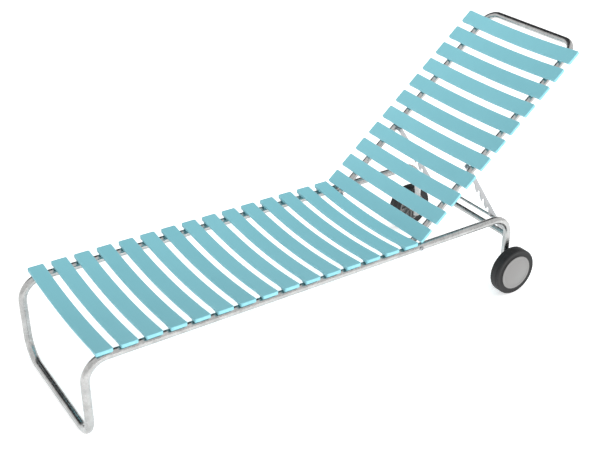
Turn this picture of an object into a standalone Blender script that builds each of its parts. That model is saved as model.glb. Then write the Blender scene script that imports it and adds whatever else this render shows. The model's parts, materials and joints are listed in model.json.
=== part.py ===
"""Reclining sun lounger: a bent steel tube frame on two wheels, with moulded slats across it.

Metres, +Z up, +X from the foot end to the head end, and the ground at Z = 0. The origin is on the
ground, under the middle of the lounger. The backrest is shown raised, with its prop bars in a notch.
"""

import math

import bmesh
import bpy
from mathutils import Matrix, Vector

# Fits
GAP = 0.0003
RUNNING_GAP = 0.0004

# Main frame: one tube, bent into rails, legs and a foot bar
RAIL_RADIUS = 0.014
RAIL_WALL = 0.0015
RAIL_Y = 0.259
RAIL_Z = 0.295
FRAME_BEND = 0.075
FOOT_BEND = 0.080
LEG_FROM_FOOT = 1.645
LEG_END_Z = 0.066
PLUG_STEM = 0.008
PLUG_FLANGE = 0.003

# Backrest frame: one tube, bent into two sides and a handle
BACK_RADIUS = 0.012
BACK_WALL = 0.0012
BACK_Y = 0.219
BACK_BEND = 0.050
BACK_ANGLE = math.radians(40.4)
HANDLE_REACH = 0.903
BACK_TAIL = 0.016
HINGE_FROM_FOOT = 1.230

# Slats
SLAT_PITCH = 0.080
SLAT_WIDTH = 0.055
SLAT_LENGTH = 0.560
SLAT_PLATE = 0.0065
SLAT_SAG = 0.019
SLAT_RISE = 0.032
SLAT_END_DROP = 0.010
SLAT_CORNER = 0.006
SLAT_CHAMFER = 0.0015
SADDLE_WALL = 0.003
SADDLE_WRAP = 0.002
SEAT_SLATS = 15
BACK_SLATS = 11
FIRST_SEAT_SLAT_FROM_FOOT = 0.0625
FIRST_BACK_SLAT = 0.0402

# Cross members between the rear legs
CROSS_RADIUS = 0.010
CROSS_WALL = 0.0015
CROSS_DROP = 0.0795
CATCH_RADIUS = 0.005
CATCH_DROP = 0.0265

# Prop bars: flat, notched on the foot side, hanging from pins on the backrest frame
PROP_PIVOT_REACH = 0.330
PROP_PIVOT_RISE = -0.003
PROP_Y = 0.190
PROP_THICKNESS = 0.005
PROP_LENGTH = 0.386
PROP_HALF_WIDTH = 0.009
PROP_SHANK_FRONT = 0.007
TOOTH_TIP = 0.013
NOTCH_DEPTH_AXIS = 0.0075
NOTCH_CLEARANCE = 0.0004
NOTCH_PITCH = 0.048
NOTCHES = 5
NOTCH_IN_USE = 3
NOTCH_EXIT = math.radians(134.0)

# Hinge bolts, prop pins and axles
HINGE_BOLT_RADIUS = 0.004
HINGE_HEAD_RADIUS = 0.008
HINGE_HEAD_HEIGHT = 0.0045
SPACER_RADIUS = 0.008
NUT_RADIUS = 0.0075
NUT_HEIGHT = 0.0065
PIN_RADIUS = 0.004
PIN_SHOULDER_RADIUS = 0.007
PIN_CAP_RADIUS = 0.0075
PIN_CAP_HEIGHT = 0.004
AXLE_RADIUS = 0.006
AXLE_HEAD_RADIUS = 0.010
AXLE_HEAD_HEIGHT = 0.006
AXLE_NUT_RADIUS = 0.011
AXLE_NUT_HEIGHT = 0.010
WASHER_RADIUS = 0.013

# Wheels
WHEEL_RADIUS = 0.0885
WHEEL_INNER_Y = 0.284
TYRE_WIDTH = 0.0415
TYRE_BORE = 0.060
TYRE_SHOULDER = 0.007
RIM_WALL = 0.005
WEB_THICKNESS = 0.006
HUB_RADIUS = 0.016
DISC_RADIUS = 0.065
DISC_THICKNESS = 0.003
DISC_EDGE = 0.0012
SPIGOT_DEPTH = 0.006

# Facets
BEND_STEPS = 6
TUBE_RESOLUTION = 4
TUBE_FACETS = 4 + 2 * TUBE_RESOLUTION
TOP_FACETS = 9
UNDER_FACETS = 5
GROOVE_FACETS = 3
WHEEL_FACETS = 32
BOLT_FACETS = 16
NUT_FACETS = 6

# Places that follow from the driving dimensions
LENGTH = RAIL_RADIUS + HINGE_FROM_FOOT + HANDLE_REACH * math.cos(BACK_ANGLE) + BACK_RADIUS
FOOT_X = RAIL_RADIUS - LENGTH / 2
HINGE_X = FOOT_X + HINGE_FROM_FOOT
LEG_X = FOOT_X + LEG_FROM_FOOT
CATCH_Z = RAIL_Z - CATCH_DROP
CATCH_X = LEG_X - FRAME_BEND + math.sqrt(FRAME_BEND**2 - (FRAME_BEND - CATCH_DROP) ** 2)

SIDES = {"left": 1, "right": -1}

STEEL = ("galvanised_steel", (0.62, 0.63, 0.64), 0.34, 1.0)
BAR_STEEL = ("zinc_plated_bar", (0.48, 0.48, 0.49), 0.45, 1.0)
BOLT_STEEL = ("plated_fasteners", (0.42, 0.42, 0.44), 0.35, 1.0)
SLAT_PLASTIC = ("turquoise_slat", (0.12, 0.52, 0.64), 0.45, 0.0)
NYLON = ("pale_nylon", (0.72, 0.72, 0.70), 0.55, 0.0)
RUBBER = ("black_rubber", (0.012, 0.012, 0.013), 0.75, 0.0)
HUB_PLASTIC = ("grey_hub_plastic", (0.42, 0.43, 0.43), 0.40, 0.0)
PLUG_PLASTIC = ("dark_plug_plastic", (0.05, 0.05, 0.052), 0.60, 0.0)


def clear_scene():
    for obj in list(bpy.data.objects):
        bpy.data.objects.remove(obj, do_unlink=True)


def new_collection(name):
    collection = bpy.data.collections.new(name)
    bpy.context.scene.collection.children.link(collection)
    return collection


clear_scene()
PARTS = new_collection("sun_lounger")
CUTTERS = new_collection("cutters")


def finish_material(finish):
    name, colour, roughness, metallic = finish
    found = bpy.data.materials.get(name)
    if found:
        return found
    made = bpy.data.materials.new(name)
    made.use_nodes = True
    shader = made.node_tree.nodes["Principled BSDF"]
    shader.inputs["Base Color"].default_value = (*colour, 1.0)
    shader.inputs["Roughness"].default_value = roughness
    shader.inputs["Metallic"].default_value = metallic
    return made


def add_part(name, mesh, finish, parent, location=(0, 0, 0), rotation=(0, 0, 0)):
    obj = bpy.data.objects.new(name, mesh)
    PARTS.objects.link(obj)
    if not mesh.materials:
        mesh.materials.append(finish_material(finish))
    obj.parent = parent
    obj.location = location
    obj.rotation_euler = rotation
    return obj


def add_empty(name, parent=None, location=(0, 0, 0), rotation=(0, 0, 0)):
    empty = bpy.data.objects.new(name, None)
    PARTS.objects.link(empty)
    empty.empty_display_size = 0.05
    empty.parent = parent
    empty.location = location
    empty.rotation_euler = rotation
    return empty


def smooth(mesh, angle=math.radians(35)):
    mesh.shade_smooth()
    mesh.set_sharp_from_angle(angle=angle)
    return mesh


def mesh_of_curve(curve):
    """The mesh of a curve, with its loose caps welded to its sides."""
    holder = bpy.data.objects.new(curve.name, curve)
    bpy.context.scene.collection.objects.link(holder)
    bpy.context.view_layer.update()
    graph = bpy.context.evaluated_depsgraph_get()
    mesh = bpy.data.meshes.new_from_object(holder.evaluated_get(graph))
    bpy.data.objects.remove(holder, do_unlink=True)
    bpy.data.curves.remove(curve)
    work = bmesh.new()
    work.from_mesh(mesh)
    bmesh.ops.remove_doubles(work, verts=work.verts, dist=1e-6)
    bmesh.ops.recalc_face_normals(work, faces=work.faces)
    work.to_mesh(mesh)
    work.free()
    return mesh


def poly_spline(curve, points, cyclic):
    spline = curve.splines.new("POLY")
    spline.points.add(len(points) - 1)
    for target, point in zip(spline.points, points):
        target.co = (*point, 1.0)
    spline.use_cyclic_u = cyclic


def rounded_path(corners, bends):
    """The corners of a bent tube's centreline, with each inner corner turned into an arc of its bend radius."""
    path = [Vector(corners[0])]
    for before, corner, after, bend in zip(corners, corners[1:], corners[2:], bends):
        corner = Vector(corner)
        back = (Vector(before) - corner).normalized()
        ahead = (Vector(after) - corner).normalized()
        half = back.angle(ahead) / 2
        centre = corner + (back + ahead).normalized() * bend / math.sin(half)
        start = corner + back * bend / math.tan(half) - centre
        axis = back.cross(ahead)
        turn = -(math.pi - 2 * half)
        for step in range(BEND_STEPS + 1):
            path.append(centre + Matrix.Rotation(turn * step / BEND_STEPS, 3, axis) @ start)
    path.append(Vector(corners[-1]))
    return path


def tube_mesh(name, path, radius, capped):
    curve = bpy.data.curves.new(name, "CURVE")
    curve.dimensions = "3D"
    curve.bevel_depth = radius
    curve.bevel_resolution = TUBE_RESOLUTION
    curve.use_fill_caps = capped
    poly_spline(curve, path, cyclic=False)
    return smooth(mesh_of_curve(curve))


def plate_mesh(name, outline, thickness):
    """A flat outline in XY, thickened equally to both sides of Z = 0."""
    curve = bpy.data.curves.new(name, "CURVE")
    curve.dimensions = "2D"
    curve.fill_mode = "BOTH"
    curve.extrude = thickness / 2
    poly_spline(curve, [(x, y, 0) for x, y in outline], cyclic=True)
    return mesh_of_curve(curve)


def turned_part(name, profile, finish, parent, location, side, facets=BOLT_FACETS):
    """A turned piece. The profile is (radius, distance outward) pairs, and its axis lies along Y.

    The profile is written for the outer side running from the outward end to the inward one. A side of 1
    points outward along +Y and -1 along -Y.
    """
    mesh = bpy.data.meshes.new(name)
    points = [(radius, 0, outward) for radius, outward in profile]
    closed = profile[0][0] > 0
    edges = [(i, i + 1) for i in range(len(points) - 1)]
    if closed:
        edges.append((len(points) - 1, 0))
    mesh.from_pydata(points, edges, [])
    turn = (-math.pi / 2 * side, 0, 0)
    obj = add_part(name, mesh, finish, parent, location, turn)
    screw = obj.modifiers.new("turn", "SCREW")
    screw.axis = "Z"
    screw.steps = facets
    screw.render_steps = facets
    screw.use_merge_vertices = True
    screw.merge_threshold = 1e-5
    screw.use_smooth_shade = True
    return obj


def ring_profile(bore, radius, low, high):
    return [(radius, high), (radius, low), (bore, low), (bore, high)]


def hex_nut(name, shaft, radius, low, high, parent, location, side):
    """A nut whose six-sided bore clears the shaft at the middle of each facet."""
    bore = (shaft + GAP) / math.cos(math.pi / NUT_FACETS)
    profile = ring_profile(bore, radius, low, high)
    turned_part(name, profile, BOLT_STEEL, parent, location, side, facets=NUT_FACETS)


def add_wall(obj, wall):
    """Gives an open tube surface its wall, inward."""
    solidify = obj.modifiers.new("wall", "SOLIDIFY")
    solidify.thickness = wall
    solidify.offset = -1
    solidify.use_even_offset = True


def cut(obj, cutter):
    boolean = obj.modifiers.new("cut " + cutter.name, "BOOLEAN")
    boolean.operation = "DIFFERENCE"
    boolean.solver = "EXACT"
    boolean.object = cutter


def add_cutter(name, mesh, parent=None, location=(0, 0, 0), rotation=(0, 0, 0)):
    obj = bpy.data.objects.new(name, mesh)
    CUTTERS.objects.link(obj)
    obj.hide_render = True
    obj.display_type = "WIRE"
    obj.parent = parent
    obj.location = location
    obj.rotation_euler = rotation
    return obj


def drill(obj, name, radius, parent, location, length):
    """Drills a hole along Y, centred on the location."""
    mesh = bpy.data.meshes.new(name)
    work = bmesh.new()
    bmesh.ops.create_cone(
        work, cap_ends=True, segments=BOLT_FACETS, radius1=radius, radius2=radius, depth=length
    )
    work.to_mesh(mesh)
    work.free()
    cut(obj, add_cutter(name, mesh, parent, location, (math.pi / 2, 0, 0)))


def frame_path():
    side = [
        (LEG_X, RAIL_Y, LEG_END_Z),
        (LEG_X, RAIL_Y, RAIL_Z),
        (FOOT_X, RAIL_Y, RAIL_Z),
        (FOOT_X, RAIL_Y, RAIL_RADIUS),
    ]
    other = [(x, -y, z) for x, y, z in reversed(side)]
    bends = [FRAME_BEND, FRAME_BEND, FOOT_BEND]
    return rounded_path(side + other, bends + bends[::-1])


def make_main_frame(lounger):
    path = frame_path()
    frame = add_part("main_frame", tube_mesh("main_frame", path, RAIL_RADIUS, False), STEEL, lounger)
    add_wall(frame, RAIL_WALL)
    for side, sign in SIDES.items():
        hinge_hole = (HINGE_X, sign * RAIL_Y, RAIL_Z)
        drill(frame, "hinge_hole_" + side, HINGE_BOLT_RADIUS + GAP, lounger, hinge_hole, 0.04)
        axle_hole = (LEG_X, sign * RAIL_Y, WHEEL_RADIUS)
        drill(frame, "axle_hole_" + side, AXLE_RADIUS + GAP, lounger, axle_hole, 0.04)
    envelope = add_cutter("frame_envelope", tube_mesh("frame_envelope", path, RAIL_RADIUS + GAP, True))
    ends = [(0, -RAIL_Y, 0), (0, RAIL_Y, 0)]
    cross_mesh = tube_mesh("rear_cross_tube", ends, CROSS_RADIUS, False)
    cross = add_part("rear_cross_tube", cross_mesh, STEEL, lounger, (LEG_X, 0, RAIL_Z - CROSS_DROP))
    add_wall(cross, CROSS_WALL)
    cut(cross, envelope)
    rod_mesh = tube_mesh("catch_rod", ends, CATCH_RADIUS, True)
    rod = add_part("catch_rod", rod_mesh, STEEL, lounger, (CATCH_X, 0, CATCH_Z))
    cut(rod, envelope)
    for side, sign in SIDES.items():
        stem = (RAIL_RADIUS - RAIL_WALL) * math.cos(math.pi / TUBE_FACETS) - GAP
        profile = [
            (0, PLUG_STEM),
            (stem, PLUG_STEM),
            (stem, -GAP),
            (RAIL_RADIUS, -GAP),
            (RAIL_RADIUS, -PLUG_FLANGE),
            (0, -PLUG_FLANGE),
        ]
        foot = (LEG_X, sign * RAIL_Y, LEG_END_Z)
        plug = turned_part("leg_plug_" + side, profile, PLUG_PLASTIC, lounger, foot, sign)
        plug.rotation_euler = (0, 0, 0)


def slat_top(y):
    """Height of the slat's top above its ends: a parabola that sags in the middle."""
    return -SLAT_SAG * (1 - (2 * y / SLAT_LENGTH) ** 2)


def saddle_outline(tube_y, tube_radius):
    """The underside of one end, from the slat's end inward, with a saddle that sits over the tube."""
    end = SLAT_LENGTH / 2
    groove = tube_radius + GAP
    lip = tube_radius - SADDLE_WRAP
    lip_z = lip - SLAT_RISE
    reach = math.sqrt(groove**2 - lip**2)
    outer = tube_y + reach + SADDLE_WALL
    inner = tube_y - reach - SADDLE_WALL
    points = [(end, -SLAT_END_DROP), (outer, -SLAT_END_DROP), (outer, lip_z)]
    start = math.asin(lip / groove)
    for step in range(GROOVE_FACETS + 1):
        angle = start + (math.pi - 2 * start) * step / GROOVE_FACETS
        points.append((tube_y + groove * math.cos(angle), groove * math.sin(angle) - SLAT_RISE))
    points.append((inner, lip_z))
    return points, inner


def slat_mesh(name, tube_y, tube_radius):
    """A moulded slat along Y, its top ends at Z = 0 and its width along X."""
    end = SLAT_LENGTH / 2
    rows = [(-end + SLAT_LENGTH * i / TOP_FACETS) for i in range(TOP_FACETS + 1)]
    outline = [(y, slat_top(y)) for y in rows]
    half, inner = saddle_outline(tube_y, tube_radius)
    outline += half
    for i in range(UNDER_FACETS + 1):
        y = inner - 2 * inner * i / UNDER_FACETS
        outline.append((y, slat_top(y) - SLAT_PLATE))
    outline += [(-y, z) for y, z in reversed(half)]
    mesh = plate_mesh(name, outline, SLAT_WIDTH)
    # The outline's plane becomes YZ, and its thickness lies along X.
    mesh.transform(Matrix(((0, 0, 1, 0), (1, 0, 0, 0), (0, 1, 0, 0), (0, 0, 0, 1))))
    work = bmesh.new()
    work.from_mesh(mesh)
    bmesh.ops.dissolve_limit(work, angle_limit=math.radians(0.5), verts=work.verts, edges=work.edges)
    corners = [
        edge
        for edge in work.edges
        if all(abs(abs(v.co.y) - end) < 1e-5 and abs(abs(v.co.x) - SLAT_WIDTH / 2) < 1e-5 for v in edge.verts)
        and abs(edge.verts[0].co.z - edge.verts[1].co.z) > 1e-4
    ]
    bmesh.ops.bevel(work, geom=corners, offset=SLAT_CORNER, segments=2, profile=0.5, affect="EDGES")
    work.normal_update()
    rim = [edge for edge in work.edges if is_top_rim(edge)]
    bmesh.ops.bevel(work, geom=rim, offset=SLAT_CHAMFER, segments=1, profile=0.5, affect="EDGES")
    bmesh.ops.remove_doubles(work, verts=work.verts, dist=5e-5)
    bmesh.ops.recalc_face_normals(work, faces=work.faces)
    work.to_mesh(mesh)
    work.free()
    return smooth(mesh)


def is_top_rim(edge):
    if len(edge.link_faces) != 2:
        return False
    lifts = sorted(face.normal.z for face in edge.link_faces)
    return lifts[1] > 0.9 and abs(lifts[0]) < 0.3


def make_seat(lounger):
    mesh = slat_mesh("seat_slat", RAIL_Y, RAIL_RADIUS)
    for i in range(SEAT_SLATS):
        x = FOOT_X + FIRST_SEAT_SLAT_FROM_FOOT + i * SLAT_PITCH
        add_part(f"seat_slat_{i + 1:02d}", mesh, SLAT_PLASTIC, lounger, (x, 0, RAIL_Z + SLAT_RISE))


def make_backrest(lounger):
    """The backrest turns on an empty at its hinge, whose X runs up the backrest's side tubes."""
    pivot = add_empty("backrest_pivot", lounger, (HINGE_X, 0, RAIL_Z), (0, -BACK_ANGLE, 0))
    corners = [(-BACK_TAIL, BACK_Y, 0), (HANDLE_REACH, BACK_Y, 0), (HANDLE_REACH, -BACK_Y, 0), (-BACK_TAIL, -BACK_Y, 0)]
    path = rounded_path(corners, [BACK_BEND, BACK_BEND])
    hoop = add_part("backrest_frame", tube_mesh("backrest_frame", path, BACK_RADIUS, False), STEEL, pivot)
    add_wall(hoop, BACK_WALL)
    for side, sign in SIDES.items():
        drill(hoop, "back_hinge_hole_" + side, HINGE_BOLT_RADIUS + RUNNING_GAP, pivot, (0, sign * BACK_Y, 0), 0.04)
    mesh = slat_mesh("back_slat", BACK_Y, BACK_RADIUS)
    for i in range(BACK_SLATS):
        reach = FIRST_BACK_SLAT + i * SLAT_PITCH
        slat = add_part(f"back_slat_{i + 1:02d}", mesh, SLAT_PLASTIC, pivot, (reach, 0, SLAT_RISE))
    # The last slat reaches over the start of the handle's bends, so its saddles are relieved there.
    envelope = tube_mesh("back_envelope", path, BACK_RADIUS + GAP, True)
    cut(slat, add_cutter("back_envelope", envelope, pivot))
    return pivot


def make_hinges(lounger):
    """On each side a domed bolt runs through the rail, a spacer and the backrest tube, to a nut inside."""
    rail_outer = RAIL_Y + RAIL_RADIUS + GAP
    nut_outer = BACK_Y - BACK_RADIUS - GAP
    nut_inner = nut_outer - NUT_HEIGHT
    bolt_end = nut_inner - 0.002
    for side, sign in SIDES.items():
        centre = (HINGE_X, 0, RAIL_Z)
        head = rail_outer + HINGE_HEAD_HEIGHT
        bolt = [
            (0, head),
            (HINGE_HEAD_RADIUS * 0.6, head - 0.0008),
            (HINGE_HEAD_RADIUS, rail_outer + 0.0012),
            (HINGE_HEAD_RADIUS, rail_outer),
            (HINGE_BOLT_RADIUS, rail_outer),
            (HINGE_BOLT_RADIUS, bolt_end),
            (0, bolt_end),
        ]
        turned_part("hinge_bolt_" + side, bolt, BOLT_STEEL, lounger, centre, sign)
        spacer = ring_profile(
            HINGE_BOLT_RADIUS + GAP,
            SPACER_RADIUS,
            BACK_Y + BACK_RADIUS + GAP,
            RAIL_Y - RAIL_RADIUS - GAP,
        )
        turned_part("hinge_spacer_" + side, spacer, NYLON, lounger, centre, sign)
        name = "hinge_nut_" + side
        hex_nut(name, HINGE_BOLT_RADIUS, NUT_RADIUS, nut_inner, nut_outer, lounger, centre, sign)


def notch_reach(index):
    """Distance along the bar from its pivot to the catch rod in this notch."""
    to_rod = catch_from_pivot().length
    in_use = math.sqrt(to_rod**2 - NOTCH_DEPTH_AXIS**2)
    return in_use + (index - NOTCH_IN_USE) * NOTCH_PITCH


def catch_from_pivot():
    """From the prop pivot to the catch rod, in X and Z."""
    reach = Vector((PROP_PIVOT_REACH, PROP_PIVOT_RISE))
    pivot = Matrix.Rotation(BACK_ANGLE, 2) @ reach + Vector((HINGE_X, RAIL_Z))
    return Vector((CATCH_X, CATCH_Z)) - pivot


def prop_angle():
    """Turn of the bar from the backrest's direction, so that the catch rod lies in the notch in use."""
    to_rod = catch_from_pivot()
    direction = math.atan2(to_rod.y, to_rod.x) + math.asin(NOTCH_DEPTH_AXIS / to_rod.length)
    return BACK_ANGLE - direction


def prop_outline():
    """The bar along +X from its pivot, with the teeth on the +Y side.

    Each notch is an arc round the rod, and its tooth leaves the arc along the rod's way out.
    """
    seat = CATCH_RADIUS + NOTCH_CLEARANCE
    way_out = Vector((math.cos(NOTCH_EXIT), math.sin(NOTCH_EXIT)))
    face = Vector((-way_out.y, way_out.x))
    points = []
    for step in range(9):
        angle = math.radians(270 - 180 * step / 8)
        points.append((PROP_HALF_WIDTH * math.cos(angle), PROP_HALF_WIDTH * math.sin(angle)))
    points[-1] = (0, PROP_SHANK_FRONT)
    points.append((notch_reach(0) - 0.045, PROP_SHANK_FRONT))
    for index in range(NOTCHES):
        centre = Vector((notch_reach(index), NOTCH_DEPTH_AXIS))
        start = centre + face * seat
        tip = start + way_out * (TOOTH_TIP - start.y) / way_out.y
        points.append((tip.x - 0.017, TOOTH_TIP - 0.003))
        points.append((tip.x - 0.009, TOOTH_TIP - 0.0003))
        points.append((tip.x - 0.002, TOOTH_TIP))
        points.append((tip.x + 0.0005, TOOTH_TIP - 0.0012))
        first = math.atan2(face.y, face.x) % (2 * math.pi)
        for step in range(5):
            angle = first + (math.radians(275) - first) * step / 4
            points.append((centre.x + seat * math.cos(angle), centre.y + seat * math.sin(angle)))
        points.append((centre.x + 0.008, NOTCH_DEPTH_AXIS - seat + 0.0003))
    tail = PROP_LENGTH - PROP_HALF_WIDTH
    for step in range(7):
        angle = math.radians(90 - 180 * step / 6)
        points.append((tail + PROP_HALF_WIDTH * math.cos(angle), PROP_HALF_WIDTH * math.sin(angle)))
    return points


def make_prop_bars(backrest):
    """Each bar hangs on a shouldered pin that stands on the inner side of the backrest tube."""
    outer_face = PROP_Y + PROP_THICKNESS / 2
    inner_face = PROP_Y - PROP_THICKNESS / 2
    outline = prop_outline()
    for side, sign in SIDES.items():
        place = (PROP_PIVOT_REACH, 0, PROP_PIVOT_RISE)
        pivot = add_empty("prop_pivot_" + side, backrest, place, (0, prop_angle(), 0))
        mesh = plate_mesh("prop_bar_" + side, outline, PROP_THICKNESS)
        mesh.transform(Matrix.Rotation(-math.pi / 2, 4, "X"))
        bar = add_part("prop_bar_" + side, mesh, BAR_STEEL, pivot, (0, sign * PROP_Y, 0))
        drill(bar, "prop_hole_" + side, PIN_RADIUS + RUNNING_GAP, pivot, (0, sign * PROP_Y, 0), 0.02)
        cap_inner = inner_face - RUNNING_GAP - PIN_CAP_HEIGHT
        root = BACK_Y - BACK_RADIUS - GAP
        pin = [
            (0, root),
            (PIN_SHOULDER_RADIUS, root),
            (PIN_SHOULDER_RADIUS, outer_face + RUNNING_GAP),
            (PIN_RADIUS, outer_face + RUNNING_GAP),
            (PIN_RADIUS, cap_inner + 0.0012),
            (0, cap_inner + 0.0012),
        ]
        turned_part("prop_pin_" + side, pin, BOLT_STEEL, backrest, place, sign)
        cap = [
            (0, cap_inner + 0.0009),
            (PIN_RADIUS + GAP, cap_inner + 0.0009),
            (PIN_RADIUS + GAP, inner_face - RUNNING_GAP),
            (PIN_CAP_RADIUS, inner_face - RUNNING_GAP),
            (PIN_CAP_RADIUS, cap_inner + 0.0010),
            (PIN_CAP_RADIUS - 0.002, cap_inner),
            (0, cap_inner - 0.0003),
        ]
        turned_part("prop_cap_" + side, cap, BOLT_STEEL, backrest, place, sign)


def make_wheel(lounger, side, sign):
    """Tyre, core and hub disc turn on an empty at the axle. The axle bolt, washer and nut stay on the leg."""
    axle = (LEG_X, 0, WHEEL_RADIUS)
    pivot = add_empty("wheel_pivot_" + side, lounger, axle)
    low = WHEEL_INNER_Y
    high = low + TYRE_WIDTH
    tyre = [
        (WHEEL_RADIUS - TYRE_SHOULDER, high),
        (WHEEL_RADIUS - TYRE_SHOULDER * 0.3, high - TYRE_SHOULDER * 0.3),
        (WHEEL_RADIUS, high - TYRE_SHOULDER),
        (WHEEL_RADIUS, low + TYRE_SHOULDER),
        (WHEEL_RADIUS - TYRE_SHOULDER * 0.3, low + TYRE_SHOULDER * 0.3),
        (WHEEL_RADIUS - TYRE_SHOULDER, low),
        (TYRE_BORE, low),
        (TYRE_BORE, high),
    ]
    turned_part("tyre_" + side, tyre, RUBBER, pivot, (0, 0, 0), sign, facets=WHEEL_FACETS)
    rim = TYRE_BORE - GAP
    bore = AXLE_RADIUS + RUNNING_GAP
    web_low = (low + high - WEB_THICKNESS) / 2
    web_high = web_low + WEB_THICKNESS
    hub_high = high - AXLE_HEAD_HEIGHT - SPIGOT_DEPTH - 0.004
    core = [
        (rim, high - 0.001),
        (rim, low + 0.001),
        (rim - RIM_WALL, low + 0.001),
        (rim - RIM_WALL, web_low),
        (HUB_RADIUS, web_low),
        (HUB_RADIUS, low),
        (bore, low),
        (bore, hub_high),
        (HUB_RADIUS, hub_high),
        (HUB_RADIUS, web_high),
        (rim - RIM_WALL, web_high),
        (rim - RIM_WALL, high - 0.001),
    ]
    turned_part("wheel_core_" + side, core, HUB_PLASTIC, pivot, (0, 0, 0), sign, facets=WHEEL_FACETS)
    face = high + GAP
    spigot = rim - RIM_WALL - GAP
    disc = [
        (0, face + DISC_THICKNESS),
        (DISC_RADIUS - DISC_EDGE, face + DISC_THICKNESS),
        (DISC_RADIUS, face + DISC_THICKNESS - DISC_EDGE),
        (DISC_RADIUS, face),
        (spigot, face),
        (spigot, face - SPIGOT_DEPTH),
        (spigot - 0.003, face - SPIGOT_DEPTH),
        (spigot - 0.003, face),
        (0, face),
    ]
    turned_part("hub_disc_" + side, disc, HUB_PLASTIC, pivot, (0, 0, 0), sign, facets=WHEEL_FACETS)
    leg_outer = RAIL_Y + RAIL_RADIUS + GAP
    leg_inner = RAIL_Y - RAIL_RADIUS - GAP
    washer = ring_profile(AXLE_RADIUS + GAP, WASHER_RADIUS, leg_outer, low - RUNNING_GAP)
    turned_part("axle_washer_" + side, washer, NYLON, lounger, axle, sign)
    head_low = hub_high + RUNNING_GAP
    bolt = [
        (0, head_low + AXLE_HEAD_HEIGHT),
        (AXLE_HEAD_RADIUS - 0.001, head_low + AXLE_HEAD_HEIGHT),
        (AXLE_HEAD_RADIUS, head_low + AXLE_HEAD_HEIGHT - 0.001),
        (AXLE_HEAD_RADIUS, head_low),
        (AXLE_RADIUS, head_low),
        (AXLE_RADIUS, leg_inner - AXLE_NUT_HEIGHT - 0.003),
        (0, leg_inner - AXLE_NUT_HEIGHT - 0.003),
    ]
    turned_part("axle_bolt_" + side, bolt, BOLT_STEEL, lounger, axle, sign)
    name = "axle_nut_" + side
    hex_nut(name, AXLE_RADIUS, AXLE_NUT_RADIUS, leg_inner - AXLE_NUT_HEIGHT, leg_inner, lounger, axle, sign)


def make_lounger():
    lounger = add_empty("lounger")
    make_main_frame(lounger)
    make_seat(lounger)
    backrest = make_backrest(lounger)
    make_hinges(lounger)
    make_prop_bars(backrest)
    for side, sign in SIDES.items():
        make_wheel(lounger, side, sign)


make_lounger()
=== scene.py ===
"""Reclining sun lounger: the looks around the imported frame.

Metres, +Z up, +X from the foot end to the head end, and the ground at Z = 0. Every shown piece is a
new surface that stands for one CAD node and rides on its body. The weld beads stand for none.
"""

import json
import logging
import math
from dataclasses import dataclass, field
from enum import Enum
from typing import Any

import bmesh
import bpy
import numpy as np
from mathutils import Matrix, Vector


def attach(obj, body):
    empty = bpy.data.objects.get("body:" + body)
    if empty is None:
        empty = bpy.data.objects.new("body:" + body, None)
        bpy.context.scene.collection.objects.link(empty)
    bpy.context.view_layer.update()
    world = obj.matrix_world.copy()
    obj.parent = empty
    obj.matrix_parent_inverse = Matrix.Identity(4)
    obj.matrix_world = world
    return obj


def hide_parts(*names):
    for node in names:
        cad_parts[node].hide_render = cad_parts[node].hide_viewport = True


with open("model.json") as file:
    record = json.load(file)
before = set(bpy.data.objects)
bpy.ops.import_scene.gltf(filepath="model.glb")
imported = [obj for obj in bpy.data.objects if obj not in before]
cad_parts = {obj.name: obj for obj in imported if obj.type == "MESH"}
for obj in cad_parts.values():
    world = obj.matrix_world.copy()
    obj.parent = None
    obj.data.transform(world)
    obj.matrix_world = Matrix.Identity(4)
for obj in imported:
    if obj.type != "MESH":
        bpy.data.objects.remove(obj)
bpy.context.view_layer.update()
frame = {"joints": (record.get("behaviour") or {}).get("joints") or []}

LOG = logging.getLogger("sun_lounger")
Array = np.ndarray
X = np.array([1.0, 0.0, 0.0])
Y = np.array([0.0, 1.0, 0.0])
Z = np.array([0.0, 0.0, 1.0])
MERGE = 1e-6  # points closer than this are one point
BREAK = 0.0005  # a broken edge on a turned piece


class Side(Enum):
    """The lounger's left is +Y."""

    LEFT = 1
    RIGHT = -1

    @property
    def word(self) -> str:
        """The side's name as the CAD nodes write it."""
        return self.name.lower()


class Body(Enum):
    """The CAD bodies that pieces ride on."""

    FRAME = "frame"
    BACKREST = "backrest"
    PROP = "prop"
    WHEEL = "wheel"

    def of(self, side: Side | None = None) -> str:
        """The body's name, with its side where it has one."""
        return self.value if side is None else f"{self.value}_{side.word}"


def joint_place(name: str) -> Array:
    """The point that a joint turns about.

    Args:
        name: The joint's name in the record.

    Returns:
        The point in the row frame.
    """
    places = {joint["name"]: joint["pos_m"] for joint in frame["joints"]}
    return np.array(places[name], float)


# ---------------------------------------------------------------- surfaces


@dataclass(frozen=True)
class Solid:
    """Points and faces, with named values at the points."""

    points: Array
    faces: list[list[int]]
    values: dict[str, Array] = field(default_factory=dict)


@dataclass(frozen=True)
class Sheet:
    """A surface given as a grid of points, with named values at each point.

    Face (i, j) joins points (i, j), (i, j + 1), (i + 1, j + 1) and (i + 1, j), and a closed
    direction wraps.
    """

    points: Array
    rows_closed: bool = False
    columns_closed: bool = True
    values: dict[str, Array] = field(default_factory=dict)

    def solid(self) -> Solid:
        """The grid as points and four-sided faces.

        Returns:
            The points row by row, with their faces and values.
        """
        rows, columns = self.points.shape[:2]
        row, column = np.meshgrid(
            np.arange(rows if self.rows_closed else rows - 1),
            np.arange(columns if self.columns_closed else columns - 1),
            indexing="ij",
        )
        next_row, next_column = (row + 1) % rows, (column + 1) % columns
        corners = [
            row * columns + column,
            row * columns + next_column,
            next_row * columns + next_column,
            next_row * columns + column,
        ]
        faces = np.stack(corners, -1).reshape(-1, 4).tolist()
        grid = (rows, columns)
        values = {name: np.broadcast_to(v, grid).ravel() for name, v in self.values.items()}
        return Solid(self.points.reshape(-1, 3), faces, values)


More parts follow.
